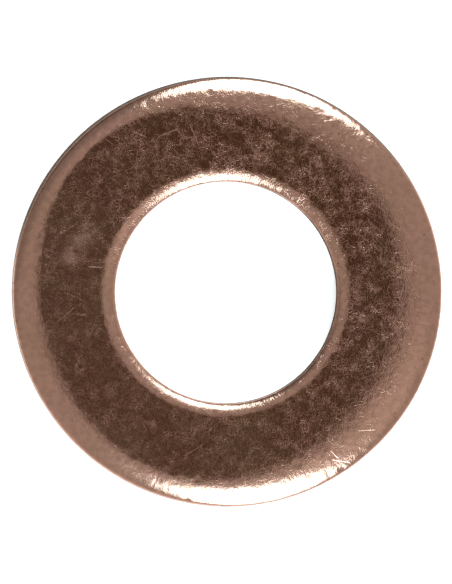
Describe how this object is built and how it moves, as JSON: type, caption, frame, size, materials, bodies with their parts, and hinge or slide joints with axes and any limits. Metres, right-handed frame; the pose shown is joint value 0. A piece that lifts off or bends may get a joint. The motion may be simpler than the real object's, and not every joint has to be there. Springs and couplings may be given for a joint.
{
  "type": "flat washer",
  "caption": "Narrow flat washer stamped from copper alloy sheet, with a plain round hole and rolled-over edges on its top face, to spread the load of a bolt head or nut.",
  "frame": {"origin": "centre of the bottom face, on the axis of the hole", "axes": "+Z along the axis of the hole, from the bottom face towards the top face with the rolled-over edges; X and Y lie in the bottom face and are free, because the ring is round"},
  "size_m": [0.0206, 0.0206, 0.0016],
  "materials": {
    "copper_alloy": "solid copper alloy, tumbled and lightly tarnished, with fine scratches"
  },
  "bodies": {
    "root": {"washer": "copper_alloy"}
  },
  "joints": []
}
